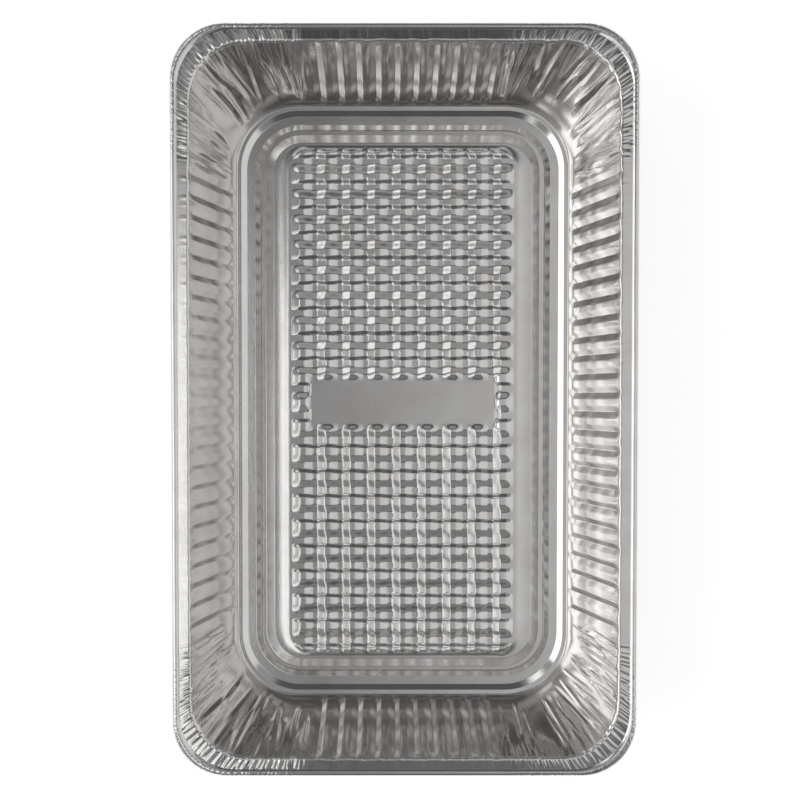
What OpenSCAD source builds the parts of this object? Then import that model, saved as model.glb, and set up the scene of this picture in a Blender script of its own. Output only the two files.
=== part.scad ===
// Deep roasting pan pressed from one sheet of foil. The sheet runs from the free edge inside
// the rolled bead, over the flange, down the fluted wall and across the waffle floor.
// The long sides run along Y, and the foot ring stands on Z = 0.

/* [Pan] */
// Width over the rolled bead, across X
rim_w = 326; // [290:1:360]
// Length over the rolled bead, along Y
rim_l = 525; // [480:1:570]
// Height of the flange above the table
flange_z = 82; // [60:1:100]
// How far each wall leans in on its way down
wall_run = 21.2; // [15:0.1:27]
// Thickness of the foil
foil = 0.13; // [0.1:0.01:0.2]

/* [Rim] */
// Width of the rolled bead
bead_w = 6; // [5:0.1:8]
// Height of the bead's top above the flange
bead_rise = 1.2; // [0.8:0.1:2]
// Angle that the bead is rolled through
bead_turn = 290; // [250:5:300]
// Width of the flat flange
flange_w = 6.4; // [5:0.1:10]
// Width of the rounded lip between the flange and the wall
lip_w = 2.4; // [1.5:0.1:4]
// Drop from the flange to the top of the wall
lip_drop = 2; // [1:0.1:3]
// Corner radius at the outside of the bead
rim_r = 38; // [30:0.5:46]
// Corner radius at the top of the wall
mouth_r = 41; // [32:0.5:48]

/* [Gathered corners] */
// Gathers in each corner
gathers = 16; // [8:1:16]
// Height of the pleats that the gathers make in the flange
pleat_h = 1; // [0.4:0.1:1.4]
// Depth of the wrinkles that they make in the wall
wrinkle_d = 1.7; // [0.6:0.1:2]

/* [Flutes] */
// Distance from one flute to the next
flute_pitch = 13.85; // [13.5:0.05:24]
// Width of a flute at the face of the wall
flute_w = 8; // [5:0.1:9]
// Width of the flat back of a flute
flute_back_w = 1.6; // [1:0.1:4]
// How far a flute is pressed outwards
flute_d = 1.5; // [0.8:0.1:2]
// Height of the run-out at the foot of a flute
flute_foot = 5; // [3:0.5:12]
// Least distance from the last flute to the rounding of the floor's corner
flute_clear = 13; // [6:0.5:25]

/* [Floor] */
// Size of the rounding between wall and floor
heel = 2; // [1:0.1:3]
// Corner radius of the floor at the heel
floor_r = 48; // [40:1:56]
// Corner radius at the edge of the waffle panel's plateau
plateau_r = 23; // [18:1:30]
// Width of the ledge inside the heel
ledge_w = 3.6; // [2.5:0.1:6]
// Width of the step down to the foot ring
step_w = 4.1; // [2.5:0.1:7]
// Width of the foot ring
foot_w = 6.3; // [3:0.1:10]
// Width of the riser inside the foot ring
riser_w = 5.4; // [3:0.1:8]
// Width of the shelf inside the riser
shelf_w = 3; // [1.5:0.1:6]
// Width of the slope up to the waffle panel's plateau
slope_w = 6.2; // [3:0.1:10]
// Height of the ledge above the foot ring
ledge_h = 2.6; // [1.5:0.1:4]
// Height of the shelf above the foot ring
shelf_h = 2.8; // [1.5:0.1:4]
// Height of the plateau above the foot ring
plateau_h = 4.2; // [3:0.1:6]

/* [Waffle] */
// Distance from one bump to the next, along X and along Y
waffle_pitch = 19.3; // [17:0.1:26]
// Length of a bump's top, along X
bump_l = 10; // [6:0.1:12]
// Height of a bump, and depth of a dimple
bump_h = 1.3; // [0.8:0.1:2]
// Plain margin beside the waffle, along the long sides
side_margin = 9.4; // [5:0.1:14]
// Plain margin beyond the waffle, at the ends
end_margin = 4; // [3:0.1:10]
// Corner radius of the waffle
waffle_r = 18; // [12:1:24]
// Bumps in a row that the plain label field in the middle takes the place of
label_cols = 7; // [3:2:7]
// Rows of bumps that the label field takes the place of
label_rows = 3; // [1:2:7]

/* [Hidden] */

// Facets: rings round the bead, segments of a plain corner and of a gathered one
bead_steps = 6;
corner_steps = 6;
gather_steps = 2 * gathers;

// Height of the heel's rounding on the wall, as a share of its size
heel_rise = 1.6;
// Shares of the pleats' height left on the bead, and of the wrinkles' depth left at the flutes' foot
bead_pleat_share = 0.5;
foot_wrinkle_share = 1 / 3;
// Share of its full throw that the shallowest gather has
least_gather = 0.5;
gather_seed = 11;
// Share of the lip that a flute's mouth may take up
mouth_share = 0.75;

// Heights are those of the sheet's upper side. An inset is measured from the outside of the bead.
bead_r = bead_w / 2;
bead_z = flange_z + bead_rise - bead_r;
bead_end_angle = 180 - asin((bead_r - bead_rise) / bead_r);
bead_top_angle = 100;
bead_free_angle = bead_end_angle - bead_turn;
function bead_inset(a) = bead_r - bead_r * cos(a);

bead_in = bead_inset(bead_end_angle);
flange_in = bead_in + flange_w;
wall_in = flange_in + lip_w;
heel_in = wall_in + wall_run;
foot_z = foil;
ledge_z = foot_z + ledge_h;
plateau_z = foot_z + plateau_h;
wall_z = flange_z - lip_drop;

// Share of the way down the wall at a height, and the inset and corner radius there
function fall(z) = (wall_z - z) / (wall_z - ledge_z);
function wall_inset(z) = wall_in + wall_run * fall(z);
function wall_r(z) = mouth_r + (floor_r - mouth_r) * fall(z);
heel_z = ledge_z + heel_rise * heel;
flute_foot_z = heel_z + flute_foot;

// Floor bands from the heel inwards: width and height of the ledge, the step, the foot ring,
// the riser, the shelf and the slope
floor_bands = [[ledge_w, ledge_z], [step_w, foot_z], [foot_w, foot_z], [riser_w, foot_z + shelf_h],
               [shelf_w, foot_z + shelf_h], [slope_w, plateau_z]];
function band_in(n) = n < 0 ? heel_in : band_in(n - 1) + floor_bands[n][0];
plateau_in = band_in(len(floor_bands) - 1);

// Corner radius of the rim and of the floor at an inset
function rim_corner_r(inset) = rim_r + (mouth_r - rim_r) * inset / wall_in;
function floor_corner_r(inset) =
    floor_r + (plateau_r - floor_r) * (inset - heel_in) / (plateau_in - heel_in);

// Flutes that fit along the straight of the floor's edge on a long and on a short side
function flutes_on(half) =
    floor((2 * (half - heel_in - floor_r - flute_clear) - flute_w) / flute_pitch) + 1;
flutes = [flutes_on(rim_l / 2), flutes_on(rim_w / 2)];
function span(k) = ((flutes[k % 2] - 1) * flute_pitch + flute_w) / 2;
function flute_at(k, i) = (i - (flutes[k % 2] - 1) / 2) * flute_pitch;

// A plan vector turned by k quarter turns, and the half sizes seen from side k. Side 0 faces +X.
function quarter(k, v) = k == 0 ? v : quarter(k - 1, [-v.y, v.x]);
function half_size(k, inset) = (k % 2 == 0 ? [rim_w, rim_l] : [rim_l, rim_w]) / 2 - [inset, inset];

// A flute runs out in the lip, so its mouth is only as deep as the lip can take without folding
flute_mouth_d = min(flute_d, mouth_share * lip_w * (1 - flute_back_w / flute_w));

// A ring is one closed line of the sheet round the pan:
// [inset, height, corner radius, kind, corner waves outwards, corner waves upwards, flute depth]
PLAIN = 0;    // arcs at the corners only
PLEATED = 1;  // gathered corners
EDGE = 2;     // gathered corners, and a point at each flute
FLUTED = 3;   // gathered corners, and the section of each flute
FOOT = 4;     // plain corners, and a point at each flute

bead_rings = [for (i = [0:bead_steps])
    let (a = bead_free_angle + (bead_top_angle - bead_free_angle) * i / bead_steps, inset = bead_inset(a))
    [inset, bead_z + bead_r * sin(a), rim_corner_r(inset),
     i < bead_steps ? PLAIN : PLEATED, 0, bead_pleat_share * pleat_h, 0]];
wall_rings = [
    [bead_in, flange_z, rim_corner_r(bead_in), PLEATED, 0, pleat_h, 0],
    [flange_in, flange_z, rim_corner_r(flange_in), EDGE, 0, pleat_h, 0],
    [wall_in, wall_z, mouth_r, FLUTED, wrinkle_d, 0, flute_mouth_d],
    [wall_inset(flute_foot_z), flute_foot_z, wall_r(flute_foot_z),
     FLUTED, foot_wrinkle_share * wrinkle_d, 0, flute_d],
    [wall_inset(heel_z), heel_z, wall_r(heel_z), FOOT, 0, 0, 0],
    [heel_in + heel, ledge_z, floor_r - heel, PLAIN, 0, 0, 0]];
floor_rings = [for (i = [0:len(floor_bands) - 1])
    [band_in(i), floor_bands[i][1], floor_corner_r(band_in(i)), PLAIN, 0, 0, 0]];
rings = concat(bead_rings, wall_rings, floor_rings);

// A vertex is [x, y, z, u]. u is its place round the pan: corner k takes 2k to 2k + 1, and the
// side after it takes 2k + 1 to 2k + 2.

// Stretch from the flutes of side k to those of side k + 1, as straight, arc and straight
function corner_run(k, inset, r) =
    let (h = half_size(k, inset))
    [h.y - r - span(k), r * PI / 2, h.x - r - span(k + 1)];
function corner_length(k, inset, r) = corner_run(k, inset, r) * [1, 1, 1];
// Position and outward normal at the distance d along that stretch
function corner_place(k, inset, r, d) =
    let (h = half_size(k, inset), run = corner_run(k, inset, r), a = (d - run[0]) / r * 180 / PI)
    a < 0 ? [[h.x, span(k) + d], [1, 0]]
    : a > 90 ? [[span(k + 1) + run * [1, 1, 1] - d, h.y], [0, 1]]
    : [[h.x - r + r * cos(a), h.y - r + r * sin(a)], [cos(a), sin(a)]];

function plain_corner(k, inset, z, r) =
    let (run = corner_run(k, inset, r))
    [for (i = [0:corner_steps])
        let (d = run[0] + run[1] * i / corner_steps, at = quarter(k, corner_place(k, inset, r, d)[0]))
        [at.x, at.y, z, 2 * k + d / corner_length(k, inset, r)]];

// Throw of gather point i of corner k: out at one point and back at the next
gather_sizes = [for (k = [0:3]) rands(least_gather, 1, gather_steps, gather_seed + k)];
function gather(k, i) =
    i == 0 || i == gather_steps ? 0 : (i % 2 == 0 ? -0.5 : 0.5) * gather_sizes[k][i];
function gathered_corner(k, inset, z, r, out, up) =
    [for (i = [0:gather_steps])
        let (t = i / gather_steps, place = corner_place(k, inset, r, t * corner_length(k, inset, r)),
             at = quarter(k, place[0] + out * gather(k, i) * place[1]))
        [at.x, at.y, z + up * gather(k, i), 2 * k + t]];

// Vertex at s along the side that comes after corner k
function side_vertex(k, inset, z, s, out) =
    let (side = (k + 1) % 4, at = quarter(side, [half_size(side, inset).x + out, s]))
    [at.x, at.y, z, 2 * k + 1.5 + s / (2 * span(side))];
function marked_side(k, inset, z) =
    [for (i = [0:flutes[(k + 1) % 2] - 1]) side_vertex(k, inset, z, flute_at(k + 1, i), 0)];
// The first and the last point of the flutes' section belong to the corners
function fluted_side(k, inset, z, depth) =
    [for (i = [1:4 * flutes[(k + 1) % 2] - 2])
        let (s = [-flute_w, -flute_back_w, flute_back_w, flute_w][i % 4] / 2,
             out = [0, depth, depth, 0][i % 4])
        side_vertex(k, inset, z, flute_at(k + 1, floor(i / 4)) + s, out)];

function ring_vertices(ring) =
    let (inset = ring[0], z = ring[1], r = ring[2], kind = ring[3])
    [for (k = [0:3]) each concat(
        kind == PLAIN || kind == FOOT ? plain_corner(k, inset, z, r)
            : gathered_corner(k, inset, z, r, ring[4], ring[5]),
        kind == FLUTED ? fluted_side(k, inset, z, ring[6])
            : kind == EDGE || kind == FOOT ? marked_side(k, inset, z) : [])];
loops = [for (ring = rings) ring_vertices(ring)];

// The waffle: rows of vertices [x, height] along X, half a pitch apart. Even rows carry bumps,
// and odd rows carry dimples half a pitch further along.
plateau_half = [rim_w, rim_l] / 2 - [plateau_in, plateau_in];
waffle_half = plateau_half - [side_margin, end_margin];
row_gap = waffle_pitch / 2;
// Least distance from the last row, and from a bump's end, to the edge of the waffle
row_end_gap = 1.2;
edge_gap = 1;
last_row = floor((waffle_half.y - row_end_gap) / row_gap);
last_bump = ceil(waffle_half.x / waffle_pitch);
// Share of its height that a bump keeps where the end of the waffle cuts it off
cut_share = 0.55;

function waffle_edge_x(y) =
    let (rise = max(0, abs(y) - (waffle_half.y - waffle_r)))
    waffle_half.x - waffle_r + sqrt(waffle_r * waffle_r - rise * rise);
// The label field reaches the low points around the bumps that it replaces. Its border rows keep
// their points, at the height of the plateau.
label_half = label_cols * row_gap;
label_border = label_rows - 1;
function row_height(m) =
    (m % 2 == 0 ? bump_h : -bump_h) * (abs(m) == last_row ? cut_share : 1);
// Low points between bumps, and the two ends of each bump that fits
function pattern_row(m, limit) =
    let (shift = m % 2 == 0 ? 0 : row_gap, half = bump_l / 2)
    [for (i = [-last_bump:last_bump])
        let (x = i * waffle_pitch + shift, low = x - row_gap, labelled = abs(m) <= label_border,
             fits = abs(x) + half < limit - edge_gap, height = row_height(m),
             top = labelled && abs(x) - half < label_half ? 0 : height)
        each concat(
            abs(low) < limit - edge_gap ? [[low, 0]] : [],
            fits ? [[x - half, top], [x + half, top]] : [])];
// The same row between the waffle's edges. Inside the label field no point is needed.
function waffle_row(m) =
    let (edge = waffle_edge_x(m * row_gap), inside = abs(m) < label_border)
    concat([[-edge, 0]],
           [for (v = pattern_row(m, edge)) if (!inside || abs(v.x) >= label_half) v],
           [[edge, 0]]);
function end_row(m) =
    let (edge = waffle_edge_x(waffle_half.y))
    concat([[-edge, 0]], [for (v = pattern_row(m, edge)) [v.x, 0]], [[edge, 0]]);
rows = concat(
    [[for (v = end_row(-last_row)) [v.x, -waffle_half.y, plateau_z]]],
    [for (m = [-last_row:last_row]) [for (v = waffle_row(m)) [v.x, m * row_gap, plateau_z + v.y]]],
    [[for (v = end_row(last_row)) [v.x, waffle_half.y, plateau_z]]]);

// The underside lies one thickness below. Loops are offset square to their facets, with mitres
// in section and in plan.
function unit(v) = v / norm(v);
function mitre(n1, n2) = (n1 + n2) / (1 + n1 * n2);
function under_normal(i) =
    i < 0 ? under_normal(0)
    : i >= len(rings) - 1 ? [0, -1]
    : let (d = unit([rings[i + 1][0] - rings[i][0], rings[i + 1][1] - rings[i][1]])) [d.y, -d.x];
function outward(a, b) = let (d = unit([b.x - a.x, b.y - a.y])) [d.y, -d.x];
function under_loop(n) =
    let (loop = loops[n], count = len(loop), drop = foil * mitre(under_normal(n - 1), under_normal(n)))
    [for (i = [0:count - 1])
        let (before = loop[(i + count - 1) % count], v = loop[i], after = loop[(i + 1) % count],
             side = mitre(outward(before, v), outward(v, after)))
        [v.x - drop.x * side.x, v.y - drop.x * side.y, v.z + drop.y]];

// Index of the first vertex of each loop and row
parts = concat(loops, rows);
function running(lengths) =
    [for (i = 0, sum = 0; i <= len(lengths); sum = sum + (i < len(lengths) ? lengths[i] : 0), i = i + 1) sum];
starts = running([for (p = parts) len(p)]);
sheet_points = [for (p = parts) each [for (v = p) [v.x, v.y, v.z]]];
under_points = concat(
    [for (n = [0:len(loops) - 1]) each under_loop(n)],
    [for (row = rows) each [for (v = row) [v.x, v.y, v.z - foil]]]);

// Triangles between two lines of vertices a and b, each given as indices and places along it
function next_on_a(ua, ub, i, j) =
    j >= len(ub) - 1 ? 1
    : i >= len(ua) - 1 ? 0
    : ua[i] + ua[i + 1] <= ub[j] + ub[j + 1] ? 1 : 0;
function join(a, ua, b, ub) =
    [for (i = 0, j = 0, s = 0; i < len(ua) - 1 || j < len(ub) - 1;
          s = next_on_a(ua, ub, i, j), i = i + s, j = j + 1 - s)
        [a[i], b[j], next_on_a(ua, ub, i, j) == 1 ? a[i + 1] : b[j + 1]]];
function closed(v, turn) = concat(v, [v[0] + turn]);
function indices(n) = [for (i = [starts[n]:starts[n + 1] - 1]) i];
function places(loop) = [for (v = loop) v[3]];
function join_loops(n) =
    join(closed(indices(n), 0), closed(places(loops[n]), 8),
         closed(indices(n + 1), 0), closed(places(loops[n + 1]), 8));
function join_rows(n) =
    let (a = len(loops) + n)
    join(indices(a), [for (v = rows[n]) v.x], indices(a + 1), [for (v = rows[n + 1]) v.x]);

// Flat margin between the last loop and the outline of the waffle, joined by polar angle
row_start = len(loops);
row_end = row_start + len(rows) - 1;
outline = concat(
    [for (n = [row_start:row_end]) starts[n + 1] - 1],
    [for (i = [starts[row_end + 1] - 2:-1:starts[row_end]]) i],
    [for (n = [row_end - 1:-1:row_start + 1]) starts[n]],
    [for (i = [starts[row_start]:starts[row_start + 1] - 2]) i]);
margin_loop = indices(row_start - 1);
function bearing(i) = atan2(sheet_points[i].y, sheet_points[i].x);
function bearings(list) = [for (i = list) (bearing(i) - bearing(margin_loop[0]) + 360) % 360];
function rotated(list, n) = [for (i = [0:len(list) - 1]) list[(i + n) % len(list)]];
first = search(min(bearings(outline)), bearings(outline))[0];
waffle_loop = rotated(outline, first);
margin_faces = join(closed(margin_loop, 0), closed(bearings(margin_loop), 360),
                    closed(waffle_loop, 0), closed(bearings(waffle_loop), 360));

sheet_faces = concat(
    [for (n = [0:len(loops) - 2]) each join_loops(n)],
    margin_faces,
    [for (n = [0:len(rows) - 2]) each join_rows(n)]);
count = len(sheet_points);
under_faces = [for (f = sheet_faces) [f[2] + count, f[1] + count, f[0] + count]];
free_edge = closed(indices(0), 0);
edge_faces = [for (i = [0:len(free_edge) - 2])
    let (a = free_edge[i], b = free_edge[i + 1])
    each [[a, b, a + count], [b, b + count, a + count]]];

module pan() {
    color("silver")
        polyhedron(concat(sheet_points, under_points), concat(sheet_faces, under_faces, edge_faces));
}

pan();
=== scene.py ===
"""Deep roasting pan pressed from one sheet of foil, seen from straight above.

The sheet is computed as rings of points round the pan and a grid for the waffle, in millimetres,
with the same section as the CAD model. It is split into four pieces that share their edges.
"""

import math

import bpy
import numpy as np
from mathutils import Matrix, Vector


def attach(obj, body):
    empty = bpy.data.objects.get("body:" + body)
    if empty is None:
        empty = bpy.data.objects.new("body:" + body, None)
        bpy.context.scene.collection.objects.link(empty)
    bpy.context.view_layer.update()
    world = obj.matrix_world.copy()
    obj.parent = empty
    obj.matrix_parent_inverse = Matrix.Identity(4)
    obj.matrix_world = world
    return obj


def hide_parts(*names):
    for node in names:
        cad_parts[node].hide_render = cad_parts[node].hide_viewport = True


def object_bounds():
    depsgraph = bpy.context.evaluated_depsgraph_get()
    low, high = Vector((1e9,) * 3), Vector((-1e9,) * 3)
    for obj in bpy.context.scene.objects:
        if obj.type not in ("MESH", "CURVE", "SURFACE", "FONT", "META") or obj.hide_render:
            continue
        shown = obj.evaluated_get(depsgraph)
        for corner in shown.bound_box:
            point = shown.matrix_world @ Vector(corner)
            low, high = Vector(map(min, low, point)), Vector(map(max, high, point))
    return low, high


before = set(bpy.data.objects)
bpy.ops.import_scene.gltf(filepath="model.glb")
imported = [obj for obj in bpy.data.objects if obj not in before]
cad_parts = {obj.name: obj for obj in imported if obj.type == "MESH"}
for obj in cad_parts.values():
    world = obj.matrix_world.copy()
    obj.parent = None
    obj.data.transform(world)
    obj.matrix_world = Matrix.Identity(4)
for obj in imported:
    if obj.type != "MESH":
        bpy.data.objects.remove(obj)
cad_low, cad_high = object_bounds()
MM = 0.001

# Half size over the rolled bead, width then length, and the thickness of the foil
HALF = (163.0, 262.5)
FOIL = 0.13

# Rolled bead, from its free edge to the flange, and how far it stays inside the CAD box
BEAD_R = 3.0
BEAD_TOP_Z = 83.2
BEAD_FREE_ANGLE, BEAD_END_ANGLE = -146.9, 143.1
BEAD_STEPS = 15
BEAD_CLEAR = 0.04

# Insets from the outside of the bead, heights and corner radii of the main rings
FLANGE_IN, FLANGE_Z = 11.8, 82.0
WALL_IN, WALL_Z = 14.2, 80.0
HEEL_IN, LEDGE_Z = 35.4, 2.73
PLATEAU_IN, PLATEAU_Z = 64.0, 4.33
FOOT_Z, SHELF_Z = 0.13, 2.93
RIM_R, MOUTH_R, FLOOR_R, PLATEAU_R = 38.0, 41.0, 48.0, 23.0
LEDGE_END, STEP_END, FOOT_END, RISER_END, SHELF_END = 39.0, 43.1, 49.4, 54.8, 57.8
RISER_BEND = (53.6, 1.18)
SHEET_END = 65.5

# Rings down the wall, and the radius and steps of the lip, the heel and the floor's bends
WALL_RINGS = (72, 68, 63, 58, 53, 48, 43, 38, 33, 28, 24, 20, 17, 14.5, 12.5, 11, 9.5, 8)
LIP_R, LIP_STEPS = 1.9, 7
LIP_FOOT = (WALL_IN + 1.37, WALL_Z - 5)
HEEL_R, HEEL_STEPS, HEEL_REACH = 3.2, 6, 2.2
BEND_R, BEND_STEPS = 0.12, 2
# A segment longer than the first gets a point at the second's distance from both of its ends
LONG_SEGMENT, GUARD_REACH = 1.5, 0.12
# The walls' piece starts at the first ring below this height and ends this far past the heel
WALLS_TOP_Z, WALLS_PAST_HEEL = 76, 2

# Flutes: how many per long and per short side, and their section, a wide flank and a narrow one
FLUTES = (24, 10)
FLUTE_PITCH, FLUTE_W, FLUTE_DEPTH = 13.85, 9.3, 1.45
FLUTE_FOOT_Z = 11.0
FLUTE_PEAK = 0.1
FLUTE_STOPS = (-1.08, -0.92, -0.75, -0.15, 0.0, 0.1, 0.2, 0.35, 0.75, 0.92, 1.08)
PANEL_STEPS = 3

# Uneven bends of the lip, from least to most: height, length of a wave over 2 pi, and shift
LIP_WAVES, LIP_WAVE_LEAST, LIP_WAVE_MOST = 7, (0.03, 0.9, 0), (0.1, 6, 6.3)
LIP_WAVE_GAIN = 1.2

# Gathered corners
CORNER_STEPS = 230
# Height of the pleats by corner, and their push outwards at the lip as a share of it
PLEAT_UP, PLEAT_OUT = (0.35, 0.75, 0.75, 0.38), 0.6
PLEAT_MEAN, PLEAT_FADE = 0.35, 12
CORNER_LENGTH = 130.0
CREASES, CREASE_SLOPE, CREASE_LIMIT = 60, (0.25, 0.6), 1.3
# Width of a fold's flank by corner, as a share of the corner's length
CREASE_WIDTH = ((0.008, 0.034), (0.008, 0.032), (0.01, 0.03), (0.005, 0.018))
# Crimps of the bead, which leave the part nearer the outside than the second value smooth
CRIMP, CRIMP_START = 0.3, 0.9

# First seed of each kind of irregularity, to which the corner or side is added
PLEAT_SEED, CREASE_SEED, TICK_SEED, LIP_SEED, CRIMP_SEED = 30, 50, 70, 90, 110

# Waffle, with a plain field in its middle
WAFFLE_PITCH = 19.3
WAFFLE_HALF = (89.6, 194.5)
WAFFLE_R = 18.0
WAFFLE_FADE = ((0.5, 5), (0.3, 3.5))
BUMP_H = 1.4
BUMP_HALF = (7.9, 5.2)
SIDE_FLANK, STEEP_FLANK, LONG_FLANK = 5.8, 2.8, 8.0
SKIRT, SKIRT_WIDTH = 0.12, 3.0
LAST_BUMP_X = 77.2
FIELD_HALF, FIELD_FADE = (70.5, 15.0), (4.0, 9.0)
WAFFLE_STEPS, UNDERSIDE_STEPS = (1.3, 0.65), (3.2, 2.0)
SLOPE_REACH = 0.2

# Foil: its tones, the noise scales of its grain, dents and clouds, and its roughness. The bumps
# of the grain and the dents are strength and height in metres.
FOIL_TONES = ((0.3, (0.74, 0.725, 0.71)), (0.7, (0.82, 0.81, 0.80)))
GRAIN_SCALE, GRAIN_STRETCH = 2200, (1, 0.04, 1)
DENT_SCALE, CLOUD_SCALE = 420, 38
GRAIN_BUMP, DENT_BUMP = (0.09, 0.00012), (0.05, 0.00035)
ROUGH_LEAST, ROUGH_SPAN = 0.08, 0.12

# Paper floor: its white and its own glow, and its half size and depth below the pan in metres
PAPER, PAPER_GLOW = 0.92, 0.6
PAPER_HALF, PAPER_DROP = 30, 0.0002

# Studio: brightness by sideways direction, then at both ends by lengthways and by sideways direction.
# The limits say how far the middle reaches towards the far and the near end. One more soft box
# stands at the far end on the left. The last rows are the brightness low down and its share by
# upward direction.
STUDIO_STRENGTH = 1.5
STUDIO_MIDDLE = ((-1, 0.6), (-0.72, 1.3), (-0.62, 1.2), (-0.56, 0.42), (-0.48, 0.36), (-0.38, 0.45),
                 (-0.33, 0.62), (-0.24, 0.65), (-0.215, 0.95), (-0.172, 0.95), (-0.15, 0.1),
                 (-0.1, 0.14), (0, 0.24), (0.12, 0.33), (0.3, 0.42), (0.45, 0.46), (0.7, 0.5), (1, 0.5))
STUDIO_ENDS = ((-1, 0.15), (-0.95, 0.22), (-0.9, 0.06), (-0.64, 0.06), (-0.61, 0.16), (-0.42, 0.16),
               (-0.385, 0.07), (-0.285, 0.07), (-0.25, 0.2), (0.24, 0.2), (0.275, 0.02), (0.365, 0.02),
               (0.4, 0.22), (0.61, 0.22), (0.64, 0.06), (0.9, 0.06), (0.95, 0.22), (1, 0.15))
STUDIO_ENDS_BESIDE = ((-0.7, 0.2), (-0.35, 0.13), (-0.22, 0.13), (-0.15, 0), (0.35, 0), (0.6, 0.19))
FAR_LIMIT = ((-0.75, 0.3), (-0.66, 0.24), (-0.62, 0.05), (-0.3, 0.05), (-0.2, 0.133), (-0.15, 0.265),
             (0.2, 0.265), (0.6, 0.35))
NEAR_LIMIT = ((-0.65, 0.38), (-0.45, 0.38), (-0.38, 0.66), (-0.22, 0.66), (-0.16, 0.285), (0.2, 0.285),
              (0.6, 0.437))
LIMIT_EDGE = ((-0.02, 0), (0.02, 1))
FAR_BOX_X = ((-0.6, 0), (-0.5, 0.8), (-0.3, 0.6), (-0.18, 0))
FAR_BOX_Y = ((0.37, 0), (0.4, 1), (0.62, 1), (0.66, 0))
HORIZON = ((-1, 0.4), (-0.5, 0.3), (0, 0.1), (0.5, 0.22), (1, 0.32))
HORIZON_SHARE = ((0.3, 1.0), (0.5, 0.0))

# Camera: place in metres, tilt in degrees, lens and sensor in millimetres
CAMERA_AT, CAMERA_TILT = (-0.0135, 0.0034, 0.802), -1.4
CAMERA_LENS, CAMERA_SENSOR = 46.6, 36
CAMERA_SHIFT = (0.0185, 0.0288)


def rng(seed):
    return np.random.default_rng(seed)


def smooth(x, low, high):
    """Smooth step from 0 at low to 1 at high."""
    t = np.clip((x - low) / (high - low), 0, 1)
    return t * t * (3 - 2 * t)


def between(x, start, full, fade, end):
    """1 from full to fade, with smooth slopes down to 0 at start and at end."""
    return smooth(x, start, full) * (1 - smooth(x, fade, end))


def rounded(points, radius, steps):
    """A polyline with each inner corner replaced by a short curve that starts and ends at the radius."""
    out = [points[0]]
    for before, corner, after in zip(points, points[1:], points[2:]):
        back, ahead = np.subtract(before, corner), np.subtract(after, corner)
        start = corner + back * min(0.45, radius / np.linalg.norm(back))
        end = corner + ahead * min(0.45, radius / np.linalg.norm(ahead))
        for t in np.linspace(0, 1, steps):
            out.append((1 - t) ** 2 * start + 2 * t * (1 - t) * np.array(corner) + t * t * end)
    return out + [points[-1]]


def guarded(points):
    """The same polyline with a point close to both ends of every long segment, so flats stay flat."""
    out = [points[0]]
    for a, b in zip(points, points[1:]):
        a, b = np.array(a), np.array(b)
        length = np.linalg.norm(b - a)
        if length > LONG_SEGMENT:
            reach = (b - a) * GUARD_REACH / length
            out += [a + reach, b - reach]
        out.append(b)
    return out


def bead_section():
    angles = np.radians(np.linspace(BEAD_FREE_ANGLE, BEAD_END_ANGLE, BEAD_STEPS + 1))
    side_r = BEAD_R - max(0, HALF[0] - cad_high.x / MM) - BEAD_CLEAR
    middle_z = BEAD_TOP_Z - BEAD_R
    return [(BEAD_R - side_r * math.cos(a), middle_z + BEAD_R * math.sin(a)) for a in angles]


def wall_place(z):
    """Inset and height of the leaning wall at height z."""
    return WALL_IN + (HEEL_IN - WALL_IN) * (WALL_Z - z) / (WALL_Z - LEDGE_Z), z


def section():
    """The sheet's upper side as rows of inset and height, from its free edge to the plateau."""
    bead = bead_section()
    rim = rounded([bead[-1], wall_place(FLANGE_Z), LIP_FOOT], LIP_R, LIP_STEPS)
    rim = guarded(rim[:2]) + rim[2:]
    walls = [wall_place(z) for z in WALL_RINGS]
    heel = rounded([walls[-1], (HEEL_IN, LEDGE_Z), (HEEL_IN + HEEL_REACH, LEDGE_Z)], HEEL_R, HEEL_STEPS)
    floor = [heel[-1], (LEDGE_END, LEDGE_Z), (STEP_END, FOOT_Z), (FOOT_END, FOOT_Z), RISER_BEND,
             (RISER_END, SHELF_Z), (SHELF_END, SHELF_Z), (PLATEAU_IN, PLATEAU_Z), (SHEET_END, PLATEAU_Z)]
    floor = guarded(rounded(floor, BEND_R, BEND_STEPS))
    return np.array(bead + rim[1:] + walls + heel[1:] + floor[1:])


def flute_centres(side):
    count = FLUTES[side % 2]
    return [(i - (count - 1) / 2) * FLUTE_PITCH for i in range(count)]


def flute_span(side):
    """Distance from the middle of a side to the end of its last flute."""
    return ((FLUTES[side % 2] - 1) * FLUTE_PITCH + FLUTE_W) / 2


def side_stops(side):
    """Places along a side, flute by flute, without the two ends, which belong to the corners."""
    stops = []
    for centre in flute_centres(side):
        stops += [centre + q * FLUTE_W / 2 for q in FLUTE_STOPS]
        stops += [centre + FLUTE_W / 2 + (FLUTE_PITCH - FLUTE_W) * j / PANEL_STEPS
                  for j in range(1, PANEL_STEPS)]
    return np.array([s for s in stops if abs(s) < flute_span(side) - 0.01])


def turned(k, x, y):
    """Plan vectors turned by k quarter turns."""
    for _ in range(k % 4):
        x, y = -y, x
    return x, y


def half_size(side):
    """Distance of a side from the middle, and half its length."""
    return (HALF[0], HALF[1]) if side % 2 == 0 else (HALF[1], HALF[0])


def corner_r(inset):
    return np.interp(inset, [0, WALL_IN, HEEL_IN, PLATEAU_IN], [RIM_R, MOUTH_R, FLOOR_R, PLATEAU_R])


def corner_runs(k, inset):
    """Lengths along corner k at an inset: the straight before its arc, the arc and the straight after."""
    hx, hy = half_size(k)
    r = corner_r(inset)
    return hy - inset - r - flute_span(k), r * math.pi / 2, hx - inset - r - flute_span(k + 1)


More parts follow.
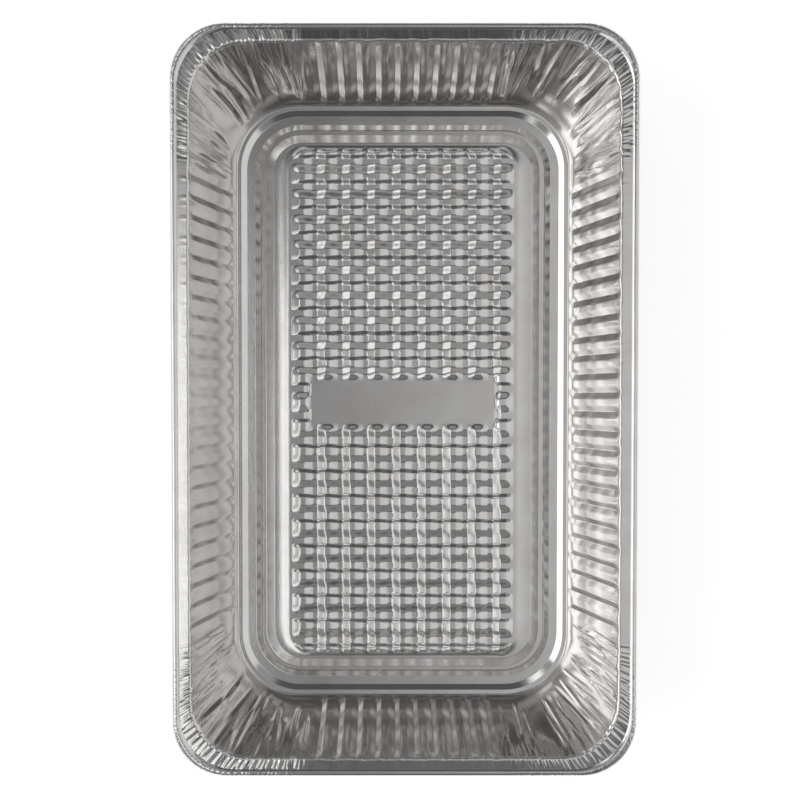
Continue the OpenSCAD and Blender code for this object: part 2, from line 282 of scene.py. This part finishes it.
def corner_plan(k, inset, t):
    """Plan position and outward direction along corner k, for columns of insets and rows of t."""
    hx, hy = half_size(k)
    r = corner_r(inset)
    first, arc, last = corner_runs(k, inset)
    d = t * (first + arc + last)
    a = np.clip((d - first) / r, 0, math.pi / 2)
    x = hx - inset - r + r * np.cos(a) - np.maximum(0, d - first - arc)
    y = hy - inset - r + r * np.sin(a) - np.maximum(0, first - d)
    return *turned(k, x, y), *turned(k, np.cos(a), np.sin(a))


def ridge(x, width):
    """A rounded ridge of height 1 with a crisp top."""
    return np.exp(-np.abs(x / width) ** 1.5)


def pleats(k, d, length, across):
    """Height of the pleats in the flange, for rows of distance d along corner k and columns across it.

    across runs from 0 at the bead to 1 at the lip. Some pleats end before they reach the bead.
    """
    draw = rng(PLEAT_SEED + k)
    out, at = np.zeros(np.broadcast(d, across).shape), 1.0
    while at < length - 1:
        middle = 1 - abs(2 * at / length - 1)
        pitch = draw.uniform(1.3, 3.4) + draw.uniform(0, 2.6) * smooth(middle, 0.5, 0.95)
        lean = draw.uniform(-0.8, 0.8)
        q = np.clip((d - at - lean * (across - 0.5)) / pitch, 0, 1)
        reach = smooth(across, draw.uniform(-0.6, 0.5) - 0.2, draw.uniform(0.1, 0.6))
        out = out + draw.uniform(0.15, 1) * reach * np.sin(np.pi * q ** draw.uniform(0.5, 1.8))
        at += pitch
    return PLEAT_UP[k] * (out - PLEAT_MEAN) * smooth(d, 0, PLEAT_FADE) * smooth(length - d, 0, PLEAT_FADE)


def crease_field(k, t, depth):
    """Outward push of the folds in a corner's wall, for rows of t and columns of depth down the wall.

    Each fold is a tent with flat flanks, so that it shows as a light and a dark streak.
    """
    draw = rng(CREASE_SEED + k)
    narrow, wide = CREASE_WIDTH[k]
    out = np.zeros(np.broadcast(t, depth).shape)
    for _ in range(CREASES):
        centre, drift = draw.uniform(0.03, 0.97), draw.uniform(-0.07, 0.07)
        left, right = draw.uniform(narrow, wide, 2)
        size = draw.uniform(*CREASE_SLOPE) * min(left, right) * CORNER_LENGTH * draw.choice([-1, 1])
        top = draw.uniform(-0.4, 0.45)
        foot = min(0.97, top + draw.uniform(0.35, 0.9))
        length = between(depth, top - 0.05, top + 0.1, foot - 0.2, foot)
        across = t - centre - drift * (depth - 0.4)
        out = out + size * length * np.clip(np.minimum(1 + across / left, 1 - across / right), 0, 1)
    return np.clip(out, -CREASE_LIMIT, CREASE_LIMIT)


def crimps(k, t, inset):
    """Small dents of the bead round corner k, for rows of t and columns of insets."""
    out = CRIMP * rng(CRIMP_SEED + k).uniform(-1, 0.2, (len(inset), CORNER_STEPS + 1))
    out = out * between(t, 0.02, 0.12, 0.88, 0.98) * (inset > CRIMP_START)
    return out * (1 - smooth(inset, BEAD_R * 1.6, BEAD_R * 2.6))


def flute_shape(q):
    """Depth across a flute from 0 to 1, deepest to one side of its middle."""
    return np.clip(np.minimum((q + 1) / (FLUTE_PEAK + 1), (1 - q) / (1 - FLUTE_PEAK)), 0, 1)


def flute_depth(inset, z):
    """How deep the flutes are at each height of the wall."""
    head = np.interp(z, [WALL_Z - 2.5, WALL_Z, FLANGE_Z - 0.4, FLANGE_Z], [1, 0.55, 0.2, 0])
    foot = np.interp(z, [LEDGE_Z + 0.8, FLUTE_FOOT_Z], [0, 1])
    return FLUTE_DEPTH * head * foot * (inset > 8) * (inset < HEEL_IN + 1)


def lip_wave(side, s):
    """Small uneven bends of the lip along a side."""
    waves = rng(LIP_SEED + side).uniform(LIP_WAVE_LEAST, LIP_WAVE_MOST, (LIP_WAVES, 3))
    return LIP_WAVE_GAIN * sum(height * np.sin(s / length + shift) for height, length, shift in waves)


def flange_ticks(side, s, inset):
    """Fine ridges that run slantwise over the flange from the flutes' edges."""
    draw = rng(TICK_SEED + side)
    across = np.clip((FLANGE_IN + 1 - inset) / 6.5, 0, 1)
    out = 0
    for centre in flute_centres(side):
        for edge in (-1, 1):
            lean = draw.uniform(1.5, 4.5) * (1 if centre > 0 else -1)
            size = draw.uniform(0.02, 0.16) * (draw.random() < 0.75)
            out = out + size * ridge(s - centre - edge * FLUTE_W / 2 - lean * across, 0.7)
    return out * between(inset, 5.2, 6.6, FLANGE_IN + 0.5, WALL_IN)


def side_points(k, rings):
    """Sheet points of the side after corner k, as rings by stations by 3."""
    side = k + 1
    s = side_stops(side)[None, :]
    inset, z = rings[:, :1], rings[:, 1:]
    half, _ = half_size(side)
    q = ((s / FLUTE_PITCH + FLUTES[side % 2] / 2) % 1 - 0.5) * FLUTE_PITCH / (FLUTE_W / 2)
    lean = q if side in (3, 4) else -q
    out = flute_depth(inset, z) * flute_shape(lean) * (np.abs(q) < 1)
    out = out + lip_wave(side, s) * between(inset, 8.5, FLANGE_IN, WALL_IN, WALL_IN + 3)
    up = flange_ticks(side, s, inset)
    x, y = turned(side, half - inset + out, s + 0 * inset)
    return np.stack([x, y, z + up + 0 * s], axis=-1)


def corner_points(k, rings):
    """Sheet points of corner k, from the last flute of one side to the first of the next."""
    t = np.linspace(0, 1, CORNER_STEPS + 1)[None, :]
    inset, z = rings[:, :1], rings[:, 1:]
    x, y, nx, ny = corner_plan(k, inset, t)
    rim_length = sum(corner_runs(k, FLANGE_IN))
    across = (inset - 2 * BEAD_R) / (FLANGE_IN - 2 * BEAD_R)
    fold = pleats(k, t * rim_length, rim_length, across)
    flange = between(inset, 3.0, 7.0, FLANGE_IN, WALL_IN + 0.5)
    lip = between(inset, 8.0, FLANGE_IN, WALL_IN + 1, WALL_IN + 6)
    depth = (WALL_Z - z) / (WALL_Z - LEDGE_Z)
    wall = between(inset, WALL_IN - 2, WALL_IN + 1, HEEL_IN - 5, HEEL_IN - 1)
    crimp = crimps(k, t, inset)
    creases = crease_field(k, t, depth) * wall * between(t, 0, 0.05, 0.95, 1)
    out = PLEAT_OUT * fold * lip + creases + crimp
    up = fold * flange + 0.5 * crimp
    return np.stack([x + nx * out, y + ny * out, z + up], axis=-1)


def edge_x(y):
    """Half width of the waffle's outline at y."""
    rise = np.clip(np.abs(y) - (WAFFLE_HALF[1] - WAFFLE_R), 0, WAFFLE_R)
    return WAFFLE_HALF[0] - WAFFLE_R + np.sqrt(WAFFLE_R ** 2 - rise ** 2)


def bumps(x, y, steep_side):
    """Bumps of height 1, one in each square of the pitch, with rounded flanks along X.

    Along Y each has a steep flank, on the side that steep_side points to, and a long one.
    """
    x, y = ((v + WAFFLE_PITCH / 2) % WAFFLE_PITCH - WAFFLE_PITCH / 2 for v in (x, y * steep_side))
    rise = np.clip((BUMP_HALF[0] - np.abs(x)) / SIDE_FLANK, 0, 1)
    dome = rise * (1.3 - 0.3 * rise)
    steep = np.clip(0.5 + (BUMP_HALF[1] - y) / STEEP_FLANK, 0, 1)
    long = smooth(BUMP_HALF[1] + y, -LONG_FLANK / 2, LONG_FLANK / 2)
    return dome * steep * long


def waffle_height(x, y):
    """Height of the waffle over the plateau; its steep flanks face the middle of the pan.

    A low skirt runs round its edge, and the field in its middle stays flat.
    """
    x, y = np.abs(x), np.abs(y)
    side_gap, end_gap = edge_x(y) - x, WAFFLE_HALF[1] - y
    edge = smooth(side_gap, *WAFFLE_FADE[0]) * smooth(end_gap, *WAFFLE_FADE[1])
    skirt = 1 - np.clip(1 - np.minimum(side_gap, end_gap) / SKIRT_WIDTH, 0, 1.2) ** 2
    outside_field = np.maximum(*(smooth(v, half, half + fade)
                                 for v, half, fade in zip((x, y), FIELD_HALF, FIELD_FADE)))
    dimples = bumps(x - WAFFLE_PITCH / 2, y - WAFFLE_PITCH / 2, 1) * (x < LAST_BUMP_X)
    return BUMP_H * (bumps(x, y, -1) - dimples) * edge * outside_field + SKIRT * skirt


def grid_normals(grid):
    """Unit normals of a grid of points that is closed along its second axis."""
    along = np.roll(grid, -1, axis=1) - np.roll(grid, 1, axis=1)
    across = np.gradient(grid, axis=0)
    normal = np.cross(along, across)
    return normal / np.maximum(np.linalg.norm(normal, axis=2, keepdims=True), 1e-9)


def strip_faces(rows, columns, closed):
    """Quads of a grid, by index of row times columns plus column."""
    r, c = np.meshgrid(np.arange(rows - 1), np.arange(columns if closed else columns - 1), indexing="ij")
    ahead = (c + 1) % columns
    this_row, next_row = r * columns, (r + 1) * columns
    corners = [this_row + c, this_row + ahead, next_row + ahead, next_row + c]
    return np.stack(corners, axis=-1).reshape(-1, 4)


def add_piece(name, top, under, material, open_edge=0):
    """Add a piece of the sheet as a mesh in metres, with smooth given normals.

    Each side is given as points, normals and faces. The first open_edge points of both sides are
    the sheet's free edge, which is closed between them.
    """
    count = len(top[0])
    points = np.concatenate([top[0], under[0] - FOIL * under[1]]) * MM
    faces = [tuple(f) for f in top[2]] + [tuple(count + i for i in reversed(f)) for f in under[2]]
    for i in range(open_edge):
        ahead = (i + 1) % open_edge
        faces.append((count + i, count + ahead, ahead, i))
    mesh = bpy.data.meshes.new(name)
    mesh.from_pydata(points.tolist(), [], faces)
    mesh.shade_smooth()
    mesh.normals_split_custom_set_from_vertices(np.concatenate([top[1], -under[1]]).tolist())
    mesh.materials.append(material)
    piece = bpy.data.objects.new(name, mesh)
    bpy.context.scene.collection.objects.link(piece)
    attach(piece, "root")
    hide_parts("pan")


def by_angle(points, indices):
    """Indices sorted by their points' angle round the pan, and the angles, both closed to a full turn."""
    angles = np.arctan2(points[indices, 1], points[indices, 0])
    order = np.argsort(angles)
    indices, angles = indices[order], angles[order]
    return [*indices, indices[0]], [*angles, angles[0] + 2 * math.pi]


def join_faces(points, outer, inner):
    """Triangles between two closed loops of indices round the pan."""
    a, angle_a = by_angle(points, outer)
    b, angle_b = by_angle(points, inner)
    last_a, last_b = len(a) - 1, len(b) - 1
    faces, i, j = [], 0, 0
    while i < last_a or j < last_b:
        if i == last_a or j == last_b:
            step_a = j == last_b
        else:
            step_a = angle_a[i] + angle_a[i + 1] <= angle_b[j] + angle_b[j + 1]
        faces.append((b[j], a[i], a[i + 1]) if step_a else (b[j], a[i], b[j + 1]))
        i, j = (i + 1, j) if step_a else (i, j + 1)
    return faces


def waffle_grid(nx, ny):
    """Points and normals of the waffle, as rows along Y by columns along X by 3."""
    x, y = np.meshgrid(np.linspace(-1, 1, nx), np.linspace(-WAFFLE_HALF[1], WAFFLE_HALF[1], ny))
    x = x * edge_x(y)
    d = SLOPE_REACH
    slope_x = (waffle_height(x + d, y) - waffle_height(x - d, y)) / (2 * d)
    slope_y = (waffle_height(x, y + d) - waffle_height(x, y - d)) / (2 * d)
    normals = np.stack([-slope_x, -slope_y, np.ones_like(x)], axis=-1)
    normals /= np.linalg.norm(normals, axis=2, keepdims=True)
    return np.stack([x, y, PLATEAU_Z + waffle_height(x, y)], axis=-1), normals


def waffle_sheet(rim_points, rim_normals, steps):
    """Points, normals and faces of the waffle's grid, joined to the last ring of the sheet round it."""
    nx, ny = (int(round(2 * half / step)) + 1 for half, step in zip(WAFFLE_HALF, steps))
    grid, normals = waffle_grid(nx, ny)
    points = np.concatenate([rim_points, grid.reshape(-1, 3)])
    first = len(rim_points)
    index = np.arange(nx * ny).reshape(ny, nx) + first
    border = np.concatenate([index[0, :], index[1:-1, -1], index[-1, :], index[1:-1, 0]])
    faces = [tuple(f + first) for f in strip_faces(ny, nx, False)]
    faces += join_faces(points, np.arange(first), border)
    return points, np.concatenate([rim_normals, normals.reshape(-1, 3)]), faces


def build_sheet(material):
    """The whole sheet: rim, walls and floor as bands of rings, and the waffle inside the last ring."""
    rings = section()
    parts = [part(k, rings) for k in range(4) for part in (corner_points, side_points)]
    grid = np.concatenate(parts, axis=1)
    normals = grid_normals(grid)
    if normals[-1, 0, 2] < 0:
        normals = -normals
    columns = grid.shape[1]
    on_wall = np.flatnonzero((rings[:, 0] > WALL_IN) & (rings[:, 1] < WALLS_TOP_Z))[0]
    on_ledge = np.flatnonzero(rings[:, 0] > HEEL_IN + WALLS_PAST_HEEL)[0]
    bands = (("foil_rim", 0, on_wall), ("foil_walls", on_wall, on_ledge),
             ("foil_floor", on_ledge, len(rings) - 1))
    for name, first, last in bands:
        rows = slice(first, last + 1)
        faces = strip_faces(last + 1 - first, columns, True)
        side = (grid[rows].reshape(-1, 3), normals[rows].reshape(-1, 3), faces)
        add_piece(name, side, side, material, columns if first == 0 else 0)
    edge = (grid[-1], normals[-1])
    top, under = waffle_sheet(*edge, WAFFLE_STEPS), waffle_sheet(*edge, UNDERSIDE_STEPS)
    add_piece("foil_waffle", top, under, material)


class Nodes:
    """Short calls for building a node tree."""

    def __init__(self, owner):
        owner.use_nodes = True
        self.tree = owner.node_tree
        self.tree.nodes.clear()

    def add(self, kind, **inputs):
        """A node with values for its inputs; an output of another node is linked to the input."""
        node = self.tree.nodes.new(kind)
        for name, value in inputs.items():
            self.feed(node.inputs[name.replace("_", " ")], value)
        return node

    def feed(self, target, value):
        if isinstance(value, bpy.types.NodeSocket):
            self.tree.links.new(value, target)
        else:
            target.default_value = value

    def ramp(self, source, stops):
        """Brightness or colour by the source, which runs from 0 to 1."""
        node = self.add("ShaderNodeValToRGB", Fac=source)
        elements = node.color_ramp.elements
        while len(elements) < len(stops):
            elements.new(0.5)
        for element, (place, value) in zip(elements, stops):
            element.position = place
            colour = value if isinstance(value, tuple) else (value,) * 3
            element.color = (*colour, 1)
        return node.outputs["Color"]

    def along(self, source, stops):
        """Brightness by the source, which runs from -1 to 1."""
        half = self.math("ADD", self.math("MULTIPLY", source, 0.5), 0.5)
        return self.ramp(half, [((place + 1) / 2, level) for place, level in stops])

    def mix(self, share, a, b):
        node = self.tree.nodes.new("ShaderNodeMix")
        node.data_type = "RGBA"
        for slot, value in ((node.inputs["Factor"], share), (node.inputs[6], a), (node.inputs[7], b)):
            self.feed(slot, value)
        return node.outputs[2]

    def math(self, operation, *values):
        node = self.tree.nodes.new("ShaderNodeMath")
        node.operation = operation
        for slot, value in zip(node.inputs, values):
            self.feed(slot, value)
        return node.outputs[0]


def foil_material():
    """Rolled foil: fine grain along the pan, small dents and an uneven gloss."""
    material = bpy.data.materials.new("rolled_foil")
    nodes = Nodes(material)
    place = nodes.add("ShaderNodeTexCoord").outputs["Object"]
    stretched = nodes.add("ShaderNodeMapping", Vector=place, Scale=GRAIN_STRETCH).outputs[0]

    def noise(vector, scale, detail):
        return nodes.add("ShaderNodeTexNoise", Vector=vector, Scale=scale, Detail=detail).outputs["Fac"]

    grain = noise(stretched, GRAIN_SCALE, 3)
    dents = noise(place, DENT_SCALE, 4)
    tone = nodes.ramp(noise(place, CLOUD_SCALE, 3), FOIL_TONES)
    rough = nodes.math("MULTIPLY_ADD", grain, ROUGH_SPAN, ROUGH_LEAST)
    fine = nodes.add("ShaderNodeBump", Strength=GRAIN_BUMP[0], Distance=GRAIN_BUMP[1], Height=grain)
    coarse = nodes.add("ShaderNodeBump", Strength=DENT_BUMP[0], Distance=DENT_BUMP[1], Height=dents,
                       Normal=fine.outputs[0])
    shader = nodes.add("ShaderNodeBsdfPrincipled", Base_Color=tone, Metallic=1.0, Roughness=rough,
                       Normal=coarse.outputs[0])
    nodes.add("ShaderNodeOutputMaterial", Surface=shader.outputs[0])
    return material


def floor_material():
    """White paper that looks white to the camera and in reflections, and keeps the shadow."""
    material = bpy.data.materials.new("white_paper")
    nodes = Nodes(material)
    path = nodes.add("ShaderNodeLightPath").outputs
    seen = nodes.math("MAXIMUM", path["Is Camera Ray"], path["Is Glossy Ray"])
    seen = nodes.math("MAXIMUM", seen, path["Is Transmission Ray"])
    glow = nodes.add("ShaderNodeEmission", Strength=nodes.math("MULTIPLY", seen, PAPER_GLOW))
    paper = nodes.add("ShaderNodeBsdfDiffuse", Color=(PAPER, PAPER, PAPER, 1))
    both = nodes.add("ShaderNodeAddShader")
    nodes.feed(both.inputs[0], paper.outputs[0])
    nodes.feed(both.inputs[1], glow.outputs[0])
    nodes.add("ShaderNodeOutputMaterial", Surface=both.outputs[0])
    return material


def add_floor():
    mesh = bpy.data.meshes.new("floor")
    size = PAPER_HALF
    corners = [(-size, -size, 0), (size, -size, 0), (size, size, 0), (-size, size, 0)]
    mesh.from_pydata(corners, [], [(0, 1, 2, 3)])
    mesh.materials.append(floor_material())
    floor = bpy.data.objects.new("floor", mesh)
    floor.location.z = -PAPER_DROP
    bpy.context.scene.collection.objects.link(floor)


def light_studio():
    """A soft studio as a world: bright on the left, grey on the right and overhead, dark at both ends."""
    world = bpy.data.worlds.new("studio")
    bpy.context.scene.world = world
    nodes = Nodes(world)
    direction = nodes.add("ShaderNodeTexCoord").outputs["Generated"]
    dx, dy, dz = nodes.add("ShaderNodeSeparateXYZ", Vector=direction).outputs
    ends = nodes.math("MAXIMUM", nodes.along(dy, STUDIO_ENDS), nodes.along(dx, STUDIO_ENDS_BESIDE))
    far_box = nodes.math("MULTIPLY", nodes.along(dx, FAR_BOX_X), nodes.along(dy, FAR_BOX_Y))
    far_gap = nodes.math("SUBTRACT", nodes.along(dx, FAR_LIMIT), dy)
    near_gap = nodes.math("ADD", nodes.along(dx, NEAR_LIMIT), dy)
    inside = nodes.math("MULTIPLY", nodes.along(far_gap, LIMIT_EDGE), nodes.along(near_gap, LIMIT_EDGE))
    dome = nodes.mix(inside, nodes.math("MAXIMUM", ends, far_box), nodes.along(dx, STUDIO_MIDDLE))
    sky = nodes.mix(nodes.ramp(dz, HORIZON_SHARE), dome, nodes.along(dx, HORIZON))
    background = nodes.add("ShaderNodeBackground", Strength=STUDIO_STRENGTH, Color=sky)
    nodes.add("ShaderNodeOutputWorld", Surface=background.outputs[0])


def add_camera():
    """Looks down from a little beyond the middle, with a slight tilt that closes the far end in."""
    camera = bpy.data.cameras.new("camera")
    camera.sensor_width = CAMERA_SENSOR
    camera.lens = CAMERA_LENS
    camera.shift_x, camera.shift_y = CAMERA_SHIFT
    camera.clip_start, camera.clip_end = 0.01, 100
    holder = bpy.data.objects.new("camera", camera)
    holder.location = CAMERA_AT
    holder.rotation_euler = (math.radians(CAMERA_TILT), 0, 0)
    bpy.context.scene.collection.objects.link(holder)
    bpy.context.scene.camera = holder


bpy.context.scene.view_settings.view_transform = "Standard"
add_camera()
light_studio()
add_floor()
build_sheet(foil_material())
